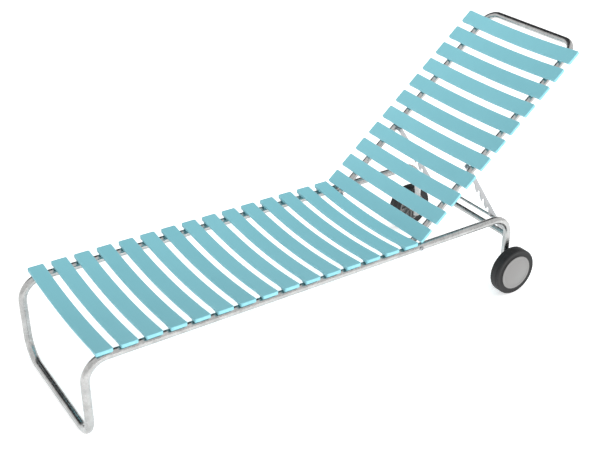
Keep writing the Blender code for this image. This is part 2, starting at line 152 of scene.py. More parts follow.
def unit(vectors: Array) -> Array:
    """The vectors, each divided by its length."""
    return vectors / np.linalg.norm(vectors, axis=-1, keepdims=True)


def ease(value: Array, low: float, high: float) -> Array:
    """A smooth step from 0 at low to 1 at high: t squared times (3 minus 2 t)."""
    t = np.clip((value - low) / (high - low), 0, 1)
    return t * t * (3 - 2 * t)


@dataclass(frozen=True)
class Line:
    """A centreline: its points, its directions, and a direction square to each."""

    points: Array
    tangents: Array
    first: Array


def bent_path(corners: list[Array], bends: list[float], steps: int = 18) -> tuple[Array, Array]:
    """A bent tube's centreline.

    Each inner corner becomes an arc. At angle a the arc is at start + bend (sin a · into + (1 - cos
    a) · side).

    Args:
        corners: The corner points before bending.
        bends: The centreline radius at each inner corner.
        steps: The number of steps in each arc.

    Returns:
        The points, and the unit direction at each.
    """
    into = unit(corners[1] - corners[0])
    points, tangents = [corners[0][None]], [into[None]]
    for corner, after, bend in zip(corners[1:], corners[2:], bends):
        out = unit(after - corner)
        turn = math.acos(float(np.clip(into @ out, -1, 1)))
        side = unit(out - into * (into @ out))
        angle = np.linspace(0, turn, steps + 1)[:, None]
        start = corner - into * bend * math.tan(turn / 2)
        points.append(start + bend * (np.sin(angle) * into + (1 - np.cos(angle)) * side))
        tangents.append(np.cos(angle) * into + np.sin(angle) * side)
        into = out
    points.append(corners[-1][None])
    tangents.append(into[None])
    return np.concatenate(points), np.concatenate(tangents)


def tube(
    line: Line, radius: float, wall: float = 0.0, segments: int = 32, depth: float = 0.02
) -> Sheet:
    """A round tube along a centreline.

    The ring at each station is point + radius (cos a · first + sin a · second), where second is the
    tangent crossed with first. At each end the rings turn in over the lip and run back down the
    bore to a floor, or close at the end's middle if the tube has no wall.

    Args:
        line: The centreline.
        radius: The tube's outer radius.
        wall: The wall's thickness, or 0 for a solid bar.
        segments: The number of points round each ring.
        depth: How far the bore is drawn.

    Returns:
        The closed surface.
    """
    lip = min(0.0005, radius * 0.08)
    if wall:
        bore = radius - wall
        ends = [(0, depth), (bore, depth), (bore, lip / 2), (bore + lip / 2, 0)]
        ends += [(radius - lip, 0), (radius, lip)]
    else:
        ends = [(0, 0), (radius - 4 * lip, 0), (radius - lip, lip), (radius, 4 * lip)]
    last = len(line.points) - 1
    index = np.array([0] * len(ends) + list(range(1, last)) + [last] * len(ends))
    radii = np.array([r for r, _ in ends] + [radius] * (last - 1) + [r for r, _ in reversed(ends)])
    inset = np.array([d for _, d in ends] + [0.0] * (last - 1) + [-d for _, d in reversed(ends)])
    second = np.cross(line.tangents, line.first)
    angle = np.linspace(0, 2 * np.pi, segments, endpoint=False)[None, :, None]
    centre = line.points[index] + line.tangents[index] * inset[:, None]
    ring = np.cos(angle) * line.first[index][:, None] + np.sin(angle) * second[index][:, None]
    return Sheet(centre[:, None] + radii[:, None, None] * ring)


def straight(start: Array, end: Array, first: Array) -> Line:
    """A straight centreline.

    Args:
        start: Its first point.
        end: Its last point.
        first: A direction square to it.

    Returns:
        The centreline, at eight stations.
    """
    points = np.linspace(start, end, 8)
    tangent = np.broadcast_to(unit(end - start), points.shape)
    return Line(points, tangent, np.broadcast_to(first, points.shape))


def turned(profile: list[tuple], centre: Array, side: Side, segments: int = 60) -> Sheet:
    """A turned piece on an axis along Y.

    A point at radius r and angle a is at centre + r (cos a, 0, sin a), at the profile's distance
    outward. Where the profile's third number is 1 the ring is a hexagon: r is times cos 30° over
    cos of the angle from the middle of its flat.

    Args:
        profile: (radius, distance outward from the middle plane, hexagon share) at each row.
        centre: A point on the axis.
        side: Which way outward is.
        segments: The number of points round each ring.

    Returns:
        The surface, closed along its rows where the profile doesn't end on the axis.
    """
    rows = np.array([(*row, 0)[:3] for row in profile], float)
    angle = np.linspace(0, 2 * np.pi, segments, endpoint=False)
    flat = math.cos(math.pi / 6) / np.cos(np.mod(angle, math.pi / 3) - math.pi / 6)
    radius = rows[:, :1] * (1 + rows[:, 2:] * (flat - 1))
    points = np.zeros((len(rows), segments, 3))
    points[..., 0] = centre[0] + radius * np.cos(angle)
    points[..., 1] = rows[:, 1:2] * side.value
    points[..., 2] = centre[2] + radius * np.sin(angle)
    return Sheet(points, rows_closed=rows[0, 0] > 0)


def extruded(outline: Array, middle: Array, half: float, edge: float) -> Sheet:
    """A block with an outline in YZ and its length along X.

    The rows are the outline at each X, drawn in towards its middle by the edge's size at both ends,
    and then closed there. The outline has to be visible from the middle all round.

    Args:
        outline: Points (y, z) round the section.
        middle: The point (y, z) that the ends close on.
        half: Half the block's length.
        edge: The size of the rounded edge.

    Returns:
        The closed surface.
    """
    reach = np.linalg.norm(outline - middle, axis=1, keepdims=True)
    drawn = middle + (outline - middle) * (1 - edge / reach)
    closed = np.broadcast_to(middle, outline.shape)
    sections = [closed, drawn, outline, outline, drawn, closed]
    places = [-half, -half, edge - half, half - edge, half, half]
    points = [np.column_stack([np.full(len(s), x), s]) for x, s in zip(places, sections)]
    return Sheet(np.stack(points))


def plate(outline: Array, place: Array, along: Array, front: Array, thickness: float) -> Solid:
    """A flat bar: an outline in (along, front), thickened equally to both sides along Y.

    Args:
        outline: Points (distance along, distance to the front).
        place: The outline's zero in the row frame.
        along: The direction of its length.
        front: The direction of its front.
        thickness: The bar's thickness.

    Returns:
        Two flat faces joined by a band of four-sided faces.
    """
    flat = place + outline[:, :1] * along + outline[:, 1:] * front
    count = len(flat)
    near, far = np.arange(count), np.arange(count) + count
    band = np.stack([near, np.roll(near, -1), np.roll(far, -1), far], -1).tolist()
    points = np.concatenate([flat - Y * thickness / 2, flat + Y * thickness / 2])
    return Solid(points, [near.tolist(), far.tolist()[::-1], *band])


@dataclass(frozen=True)
class Tilt:
    """A flat frame that leans back: local X runs up it, local Y across it, local Z out of it."""

    origin: Array
    angle: float

    @property
    def along(self) -> Array:
        """The direction up the frame."""
        return np.array([math.cos(self.angle), 0.0, math.sin(self.angle)])

    @property
    def normal(self) -> Array:
        """The direction out of the frame."""
        return np.array([-math.sin(self.angle), 0.0, math.cos(self.angle)])

    def turn(self, local: Array) -> Array:
        """A local direction in the row frame."""
        return local[..., :1] * self.along + local[..., 1:2] * Y + local[..., 2:] * self.normal

    def place(self, local: Array) -> Array:
        """A local point in the row frame."""
        return self.origin + self.turn(local)


# ---------------------------------------------------------------- finishes


def linear(code: str) -> tuple[float, float, float, float]:
    """An sRGB hex colour as linear values.

    A value is divided by 12.92 up to 0.04045, and is ((value + 0.055) / 1.055) to the power 2.4
    above it.

    Args:
        code: The colour as "#rrggbb".

    Returns:
        Linear red, green, blue and an alpha of 1.
    """
    srgb = np.array([int(code[i : i + 2], 16) for i in (1, 3, 5)]) / 255
    value = np.where(srgb <= 0.04045, srgb / 12.92, ((srgb + 0.055) / 1.055) ** 2.4)
    return (*value.tolist(), 1.0)


def add(tree: bpy.types.NodeTree, kind: str, inputs: dict | None = None, **settings: Any) -> Any:
    """Adds a shader node.

    Args:
        tree: The node tree.
        kind: The node's type after "ShaderNode".
        inputs: A value or another node's output for each named or numbered input.
        **settings: The node's own settings.

    Returns:
        The node.
    """
    made = tree.nodes.new("ShaderNode" + kind)
    for key, value in settings.items():
        setattr(made, key, value)
    for key, value in (inputs or {}).items():
        if isinstance(value, bpy.types.NodeSocket):
            tree.links.new(value, made.inputs[key])
        else:
            made.inputs[key].default_value = value
    return made


def per_metre(millimetres: float) -> float:
    """The texture scale whose features are this many millimetres apart."""
    return 1000.0 / millimetres


@dataclass(frozen=True)
class Finish:
    """What every finish has: its name, slot, colours, range of roughness, metallic and relief.

    Sizes of patterns are in millimetres, and the relief's depth is in metres.
    """

    name: str
    slot: str
    dark: str
    light: str
    rough_low: float
    rough_high: float
    metallic: float = 0.0
    relief: float = 0.1
    relief_depth: float = 0.0002

    def material(self) -> bpy.types.Material:
        """The finish's material, made once.

        Returns:
            The material, on Object coordinates.
        """
        found = bpy.data.materials.get(self.name)
        if found:
            return found
        made = bpy.data.materials.new(self.name)
        made.use_nodes = True
        tree = made.node_tree
        shader = tree.nodes["Principled BSDF"]
        shader.inputs["Metallic"].default_value = self.metallic
        where = add(tree, "TexCoord").outputs["Object"]
        height = self.dress(tree, shader, where)
        bumps = {"Height": height, "Strength": self.relief, "Distance": self.relief_depth}
        relief = add(tree, "Bump", bumps)
        tree.links.new(relief.outputs["Normal"], shader.inputs["Normal"])
        return made

    def dress(self, tree: bpy.types.NodeTree, shader: Any, where: Any) -> Any:
        """Links the finish's pattern to the shader, and gives its relief's height."""
        raise NotImplementedError

    def tone(self, tree: bpy.types.NodeTree, shader: Any, share: Any, rough: Any) -> Any:
        """Mixes the two colours by a share, and sets the roughness between its limits by another.

        Args:
            tree: The node tree.
            shader: The Principled node.
            share: The output that picks between dark (0) and light (1).
            rough: The output that picks between the roughness limits.

        Returns:
            The mixed colour's output.
        """
        colours = {0: share, 6: linear(self.dark), 7: linear(self.light)}
        mixed = add(tree, "Mix", colours, data_type="RGBA").outputs[2]
        limits = {"Value": rough, "To Min": self.rough_low, "To Max": self.rough_high}
        roughness = add(tree, "MapRange", limits).outputs["Result"]
        tree.links.new(mixed, shader.inputs["Base Color"])
        tree.links.new(roughness, shader.inputs["Roughness"])
        return mixed


@dataclass(frozen=True)
class Galvanised(Finish):
    """Hot-dip galvanised steel: zinc crystals of different greys and gloss, under a dull mottle."""

    crystal: float = 9.0
    mottle: float = 45.0
    wander: float = 6.0
    wander_reach: float = 0.004
    grain: float = 1.6
    grain_share: float = 0.5
    patch_share: float = 0.55
    patch_range: tuple[float, float] = (0.38, 0.62)
    relief: float = 0.035
    relief_depth: float = 0.0003

    def dress(self, tree: bpy.types.NodeTree, shader: Any, where: Any) -> Any:
        """Crystals are Voronoi cells, each with a random share. The mottle is broader noise.

        The cells' borders wander by a finer noise. The zinc's own grain is about 0.5 mm, and is
        drawn coarser so that it shows.

        Args:
            tree: The node tree.
            shader: The Principled node.
            where: The Object coordinates' output.

        Returns:
            The relief's height.
        """
        drift = {"Vector": where, "Scale": per_metre(self.wander), "Detail": 2.0}
        wander = add(tree, "TexNoise", drift)
        reach = (self.wander_reach,) * 3
        moved = {0: wander.outputs["Color"], 1: reach, 2: where}
        bent = add(tree, "VectorMath", moved, operation="MULTIPLY_ADD").outputs[0]
        cells = add(tree, "TexVoronoi", {"Vector": bent, "Scale": per_metre(self.crystal)})
        crystal = add(tree, "SeparateColor", {0: cells.outputs["Color"]}).outputs[0]
        broad = {"Vector": where, "Scale": per_metre(self.mottle), "Detail": 4.0}
        cloud = add(tree, "TexNoise", broad)
        low, high = self.patch_range
        spread = {"Value": cloud.outputs[0], "From Min": low, "From Max": high}
        patch = add(tree, "MapRange", spread).outputs["Result"]
        share = add(tree, "Mix", {0: self.patch_share, 2: crystal, 3: patch}).outputs[0]
        self.tone(tree, shader, share, crystal)
        pores = {"Vector": where, "Scale": per_metre(self.grain), "Detail": 3.0}
        grain = add(tree, "TexNoise", pores).outputs[0]
        height = add(tree, "Mix", {0: self.grain_share, 2: crystal, 3: grain}).outputs[0]
        return height


@dataclass(frozen=True)
class Plated(Finish):
    """Bright zinc plating on cold-drawn steel: satin, with faint tool marks and handling haze."""

    haze: float = 14.0
    marks: float = 5.0
    squeeze: float = 8.0
    relief: float = 0.08
    relief_depth: float = 0.0002

    def dress(self, tree: bpy.types.NodeTree, shader: Any, where: Any) -> Any:
        """Haze is broad noise. Tool marks are noise squeezed along Y, the axis of bolts and pins.

        Real marks are about 0.1 mm apart. They are drawn 0.6 mm apart, the marks' size over the
        squeeze, so that they show.

        Args:
            tree: The node tree.
            shader: The Principled node.
            where: The Object coordinates' output.

        Returns:
            The relief's height.
        """
        broad = {"Vector": where, "Scale": per_metre(self.haze), "Detail": 3.0}
        haze = add(tree, "TexNoise", broad).outputs[0]
        across = {"Vector": where, "Scale": (1.0, self.squeeze, 1.0)}
        squeezed = add(tree, "Mapping", across).outputs[0]
        fine = {"Vector": squeezed, "Scale": per_metre(self.marks), "Detail": 2.0}
        marks = add(tree, "TexNoise", fine).outputs[0]
        self.tone(tree, shader, haze, marks)
        return marks


@dataclass(frozen=True)
class Moulded(Finish):
    """Injection-moulded plastic: faint flow clouds, a spark-eroded grain, and paler edge patches
    that are a painted highlight.
    """

    flow: float = 120.0
    grain: float = 1.4
    # Size of the patches of the painted edge highlight, in millimetres.
    highlight_patch: float = 18.0
    relief: float = 0.25
    relief_depth: float = 0.00012
    # Painted highlight on the rounded edges: its paler colour, its strength, and the range of the
    # noise that breaks it into patches.
    edge_highlight: str = "#ffffff"
    highlight_strength: float = 0.0
    highlight_patch_range: tuple[float, float] = (0.42, 0.60)

    def dress(self, tree: bpy.types.NodeTree, shader: Any, where: Any) -> Any:
        """Flow clouds are broad noise. The grain is drawn coarser than its real 0.4 mm, to show.

        The tone attribute sets one moulding's colour apart from the next. The edge attribute marks
        the rounded edges, where a painted highlight is laid on in noise patches of a paler colour.

        Args:
            tree: The node tree.
            shader: The Principled node.
            where: The Object coordinates' output.

        Returns:
            The relief's height.
        """
        broad = {"Vector": where, "Scale": per_metre(self.flow), "Detail": 2.0}
        cloud = add(tree, "TexNoise", broad).outputs[0]
        tone = add(tree, "Attribute", attribute_name="tone").outputs["Fac"]
        share = add(tree, "Mix", {0: 0.5, 2: cloud, 3: tone}).outputs[0]
        fine = {"Vector": where, "Scale": per_metre(self.grain), "Detail": 2.0}
        grain = add(tree, "TexNoise", fine).outputs[0]
        mixed = self.tone(tree, shader, share, grain)
        # Painted highlight: the rounded edges are mixed towards a paler colour in noise patches.
        if self.highlight_strength:
            edge = add(tree, "Attribute", attribute_name="edge").outputs["Fac"]
            highlight_noise = {"Vector": where, "Scale": per_metre(self.highlight_patch), "Detail": 5.0}
            highlight_patches = add(tree, "TexNoise", highlight_noise).outputs[0]
            low, high = self.highlight_patch_range
            spread = {"Value": highlight_patches, "From Min": low, "From Max": high, "To Max": self.highlight_strength}
            patch = add(tree, "MapRange", spread).outputs["Result"]
            edge_highlight = add(tree, "Math", {0: edge, 1: patch}, operation="MULTIPLY").outputs[0]
            colours = {0: edge_highlight, 6: mixed, 7: linear(self.edge_highlight)}
            paler = add(tree, "Mix", colours, data_type="RGBA").outputs[2]
            tree.links.new(paler, shader.inputs["Base Color"])
        return grain


@dataclass(frozen=True)
class Rubber(Finish):
    """Black moulded rubber: dull, with dust on a scrubbed tread."""

    dust: float = 22.0
    grain: float = 1.2
    relief: float = 0.3
    relief_depth: float = 0.0002

    def dress(self, tree: bpy.types.NodeTree, shader: Any, where: Any) -> Any:
        """Dust is noise, and lies where the tread attribute says that the tyre meets the ground.

        The grain is drawn coarser than its real 0.3 mm so that it shows.

        Args:
            tree: The node tree.
            shader: The Principled node.
            where: The Object coordinates' output.

        Returns:
            The relief's height.
        """
        patches = {"Vector": where, "Scale": per_metre(self.dust), "Detail": 6.0}
        dust = add(tree, "TexNoise", patches).outputs[0]
        tread = add(tree, "Attribute", attribute_name="tread").outputs["Fac"]
        share = add(tree, "Math", {0: dust, 1: tread}, operation="MULTIPLY").outputs[0]
        fine = {"Vector": where, "Scale": per_metre(self.grain), "Detail": 3.0}
        grain = add(tree, "TexNoise", fine).outputs[0]
        self.tone(tree, shader, share, grain)
        return grain


@dataclass(frozen=True)
class Weld(Finish):
    """A weld bead galvanised over: duller and rougher than the tube, with a rippled surface."""

    spatter: float = 1.5
    relief: float = 0.4
    relief_depth: float = 0.0004

    def dress(self, tree: bpy.types.NodeTree, shader: Any, where: Any) -> Any:
        """Spatter is fine noise.

        Args:
            tree: The node tree.
            shader: The Principled node.
            where: The Object coordinates' output.

        Returns:
            The relief's height.
        """
        fine = {"Vector": where, "Scale": per_metre(self.spatter), "Detail": 4.0}
        spatter = add(tree, "TexNoise", fine).outputs[0]
        self.tone(tree, shader, spatter, spatter)
        return spatter


# Hot-dipped mild steel tube: a bright grey skin of crystals that mirrors its surroundings softly.
STEEL = Galvanised(
    "hot_dip_galvanised_steel", "frame_steel", "#a6a6a5", "#c2c2c1", 0.18, 0.30, 1.0
)
# Zinc-plated steel strip, cut and tumbled: a flatter, duller grey than the tube.
BAR = Plated("zinc_plated_flat_bar", "bar_steel", "#a5a6a8", "#b9babb", 0.36, 0.52, 1.0)
# Zinc-plated turned steel: small, darker, sharper glints.
FASTENER = Plated("zinc_plated_fasteners", "fasteners", "#8f9092", "#b4b5b8", 0.25, 0.42, 1.0)
# Weld metal under the same zinc: a dull seam round each cross member.
WELD = Weld("galvanised_weld_bead", "frame_steel", "#8b8d8f", "#bfc1c3", 0.40, 0.60, 1.0)
# Moulded polypropylene: satin turquoise, with a painted highlight in paler patches on the rounded
# edges.
SLAT = Moulded(
    "turquoise_polypropylene",
    "slat_plastic",
    "#76b3be",
    "#7fbcc7",
    0.42,
    0.54,
    # The paler colour and its strength paint a highlight on the rounded edges.
    edge_highlight="#a9dbe4",
    highlight_strength=0.22,
)
# Unfilled moulded nylon: a warm white where the bushes and washers show.
NYLON = Moulded("natural_nylon", "nylon", "#cfcec6", "#dcdbd4", 0.42, 0.58)
# Moulded ABS: an even mid grey with a soft sheen.
HUB = Moulded("satin_grey_abs", "hub_plastic", "#767574", "#7f7e7d", 0.36, 0.46)
# Moulded polyethylene: a waxy near-black.
PLUG = Moulded("black_polyethylene", "plug_plastic", "#1d1d1f", "#2a2a2c", 0.50, 0.66)
# Moulded rubber: a dull black that dust makes grey on the tread.
TYRE = Rubber("black_moulded_rubber", "tyre_rubber", "#0a0a0b", "#19191a", 0.48, 0.66)


def show(
    name: str,
    shapes: list[Sheet | Solid],
    finish: Finish,
    body: str,
    stands_for: tuple[str, ...] = (),
    crease: float = 38.0,
    bevel: float = 0.0,
) -> bpy.types.Object:
    """Makes one shown piece from its surfaces, and sets it on its body.

    Args:
        name: The piece's name.
        shapes: Its surfaces.
        finish: Its finish.
        body: The CAD body that it rides on.
        stands_for: The CAD nodes that it replaces.
        crease: Edges sharper than this many degrees stay sharp.
        bevel: The width of the rounded edge that a Bevel modifier adds, or 0.

    Returns:
        The piece.
    """
    solids = [shape.solid() if isinstance(shape, Sheet) else shape for shape in shapes]
    starts = np.cumsum([0] + [len(solid.points) for solid in solids])
    faces = [
        [i + int(start) for i in face]
        for solid, start in zip(solids, starts)
        for face in solid.faces
    ]
    mesh = bpy.data.meshes.new(name)
    mesh.from_pydata(np.concatenate([solid.points for solid in solids]).tolist(), [], faces)
    for key in sorted({key for solid in solids for key in solid.values}):
        parts = [solid.values.get(key, np.zeros(len(solid.points))) for solid in solids]
        store = mesh.attributes.new(key, "FLOAT", "POINT")
        store.data.foreach_set("value", np.concatenate(parts).astype(np.float32))
    work = bmesh.new()
    work.from_mesh(mesh)
    bmesh.ops.remove_doubles(work, verts=work.verts, dist=MERGE)
    bmesh.ops.recalc_face_normals(work, faces=work.faces)
    work.to_mesh(mesh)
    work.free()
    mesh.shade_smooth()
    mesh.set_sharp_from_angle(angle=math.radians(crease))
    mesh.materials.append(finish.material())
    piece = bpy.data.objects.new(name, mesh)
    bpy.context.scene.collection.objects.link(piece)
    if bevel:
        rounding = piece.modifiers.new("edges", "BEVEL")
        rounding.width = bevel
        rounding.segments = 2
        rounding.limit_method = "ANGLE"
    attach(piece, body)
    if stands_for:
        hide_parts(*stands_for)
    LOG.info("%s: %d faces on %s", name, len(mesh.polygons), body)
    return piece


def fit(
    piece: str,
    node: str,
    profile: list[tuple],
    axis: Array,
    side: Side,
    finish: Finish,
    body: str,
    segments: int = 60,
) -> None:
    """Shows one side's turned piece.

    Args:
        piece: The piece's name without its side.
        node: The name without its side of the CAD node that it stands for.
        profile: Its rows for turned().
        axis: A point on its axis.
        side: Which side of the lounger.
        finish: Its finish.
        body: The CAD body that it rides on.
        segments: The number of points round each ring.
    """
    shape = turned(profile, axis, side, segments)
    show(f"{piece}_{side.word}", [shape], finish, body, (f"{node}_{side.word}",))


# ---------------------------------------------------------------- sub-assemblies


HINGE = joint_place("backrest_tilt")
AXLE = joint_place("wheel_left_spin")
PROP_PIVOT = joint_place("prop_left_swing")


@dataclass(frozen=True)
class FrameSizes:
    """Sizes that the sub-assemblies share, in metres."""

    rail_radius: float = 0.014
    rail_y: float = 0.259
    rail_z: float = float(HINGE[2])
    leg_x: float = float(AXLE[0])
    foot_x: float = float(AXLE[0]) - 1.645
    bend: float = 0.075
    foot_bend: float = 0.080
    leg_end: float = 0.066
    rod_drop: float = 0.0265
    rod_radius: float = 0.005
    cross_drop: float = 0.0795
    cross_radius: float = 0.010
    back_radius: float = 0.012
    back_y: float = 0.219
    back_angle: float = math.radians(40.4)
    gap: float = 0.0003

    @property
    def rod(self) -> Array:
        """The middle of the catch rod, on the centreline of the rear bends.

        Returns:
            The point in the row frame.
        """
        drop = self.bend - self.rod_drop
        reach = math.sqrt(self.bend**2 - drop**2)
        return np.array([self.leg_x - self.bend + reach, 0.0, self.rail_z - self.rod_drop])

    @property
    def backrest(self) -> Tilt:
        """The backrest's leaning frame, from its hinge."""
        return Tilt(np.array([HINGE[0], 0.0, HINGE[2]]), self.back_angle)


SIZES = FrameSizes()


@dataclass(frozen=True)
class MainFrame:
    """The bent main tube, the cross tube and catch rod welded to it, and the leg plugs."""

    wall: float = 0.0015
    bead: float = 0.0019
    ripple: float = 0.13
    ripples: int = 22
    embed: float = 0.002
    plug_top: float = 0.004
    plug_flange: float = 0.003

    def centreline(self) -> Line:
        """The tube from one rear leg, along its rail, round the foot and back to the other leg.

        Along the sides the first direction points outward. Round the foot it is X crossed with the
        tangent, so the rings stay in step where the planes of the bends change.

        Returns:
            The centreline.
        """
        s = SIZES
        side = [
            np.array([s.leg_x, s.rail_y, s.leg_end]),
            np.array([s.leg_x, s.rail_y, s.rail_z]),
            np.array([s.foot_x, s.rail_y, s.rail_z]),
            np.array([s.foot_x, s.rail_y, s.rail_radius]),
        ]
        other = [point * (1, -1, 1) for point in reversed(side)]
        bends = [s.bend, s.bend, s.foot_bend]
        points, tangents = bent_path(side + other, bends + bends[::-1])
        round_foot = np.abs(tangents[:, 1:2]) > 1e-9
        outward = np.sign(points[:, 1:2]) * Y
        return Line(points, tangents, np.where(round_foot, np.cross(X, tangents), outward))

    def weld(self, centre: Array, radius: float, across: Array, side: Side) -> Sheet:
        """A rippled bead round a bar that meets the main tube.

        At angle a the seam is at the bar's radius r: centre + r (cos a, 0, sin a), and as far out
        as the main tube's surface, rail_y - sqrt(R squared - d squared), where d is the part of
        that offset square to the main tube. The bead is a small tube along the seam whose radius
        ripples with the angle.

        Args:
            centre: The middle of the bar where it meets the tube.
            radius: The bar's radius.
            across: The direction in XZ square to the main tube.
            side: Which end of the bar.

        Returns:
            The closed ring.
        """
        angle = np.linspace(0, 2 * np.pi, 132, endpoint=False)
        radial = np.stack([np.cos(angle), np.zeros_like(angle), np.sin(angle)], -1)
        away = radius * (radial @ across)
        reach = SIZES.rail_y - np.sqrt(SIZES.rail_radius**2 - away**2)
        seam = centre * (1, 0, 1) + radius * radial + side.value * reach[:, None] * Y
        tangents = unit(np.roll(seam, -1, 0) - np.roll(seam, 1, 0))
        second = np.cross(tangents, radial)
        thick = self.bead * (1 + self.ripple * np.cos(self.ripples * angle))
        turn = np.linspace(0, 2 * np.pi, 12, endpoint=False)[None, :, None]
        ring = np.cos(turn) * radial[:, None] + np.sin(turn) * second[:, None]
        return Sheet(seam[:, None] + thick[:, None, None] * ring, rows_closed=True)

    def build(self) -> None:
        """Makes the tube, the cross members, their welds and the leg plugs."""
        s = SIZES
        body = Body.FRAME.of()
        main = tube(self.centreline(), s.rail_radius, self.wall)
        show("main_tube", [main], STEEL, body, ("main_frame",))
        end = (s.rail_y - s.rail_radius + self.embed) * Y
        cross = np.array([s.leg_x, 0.0, s.rail_z - s.cross_drop])
        cross_line = straight(cross - end, cross + end, X)
        show("cross_tube", [tube(cross_line, s.cross_radius)], STEEL, body, ("rear_cross_tube",))
        rod_line = straight(s.rod - end, s.rod + end, X)
        show("catch_bar", [tube(rod_line, s.rod_radius, segments=24)], STEEL, body, ("catch_rod",))
        from_bend = s.rod - np.array([s.leg_x - s.bend, 0.0, s.rail_z - s.bend])
        beads = []
        for side in Side:
            beads.append(self.weld(cross, s.cross_radius, X, side))
            beads.append(self.weld(s.rod, s.rod_radius, unit(from_bend), side))
        show("weld_beads", beads, WELD, body)
        for side in Side:
            self.plug(side)

    def plug(self, side: Side) -> None:
        """A domed plug in the open bottom of a rear leg: rings about a vertical axis.

        Args:
            side: Which side of the lounger.
        """
        s = SIZES
        inner = s.rail_radius - self.wall
        profile = np.array(
            [
                (0, self.plug_top),
                (inner - 0.0005, self.plug_top),
                (inner - 0.0005, -0.0003),
                (s.rail_radius - 0.0004, -0.0003),
                (s.rail_radius, -0.0009),
                (s.rail_radius - 0.0006, -0.0022),
                (s.rail_radius - 0.0035, -self.plug_flange),
                (0, -self.plug_flange - 0.0003),
            ]
        )
        angle = np.linspace(0, 2 * np.pi, 40, endpoint=False)
        radial = np.stack([np.cos(angle), np.sin(angle), np.zeros_like(angle)], -1)
        foot = np.array([s.leg_x, side.value * s.rail_y, s.leg_end])
        points = foot + profile[:, :1, None] * radial + profile[:, 1:, None] * Z
        node = f"leg_plug_{side.word}"
        show(f"leg_end_plug_{side.word}", [Sheet(points)], PLUG, Body.FRAME.of(), (node,))


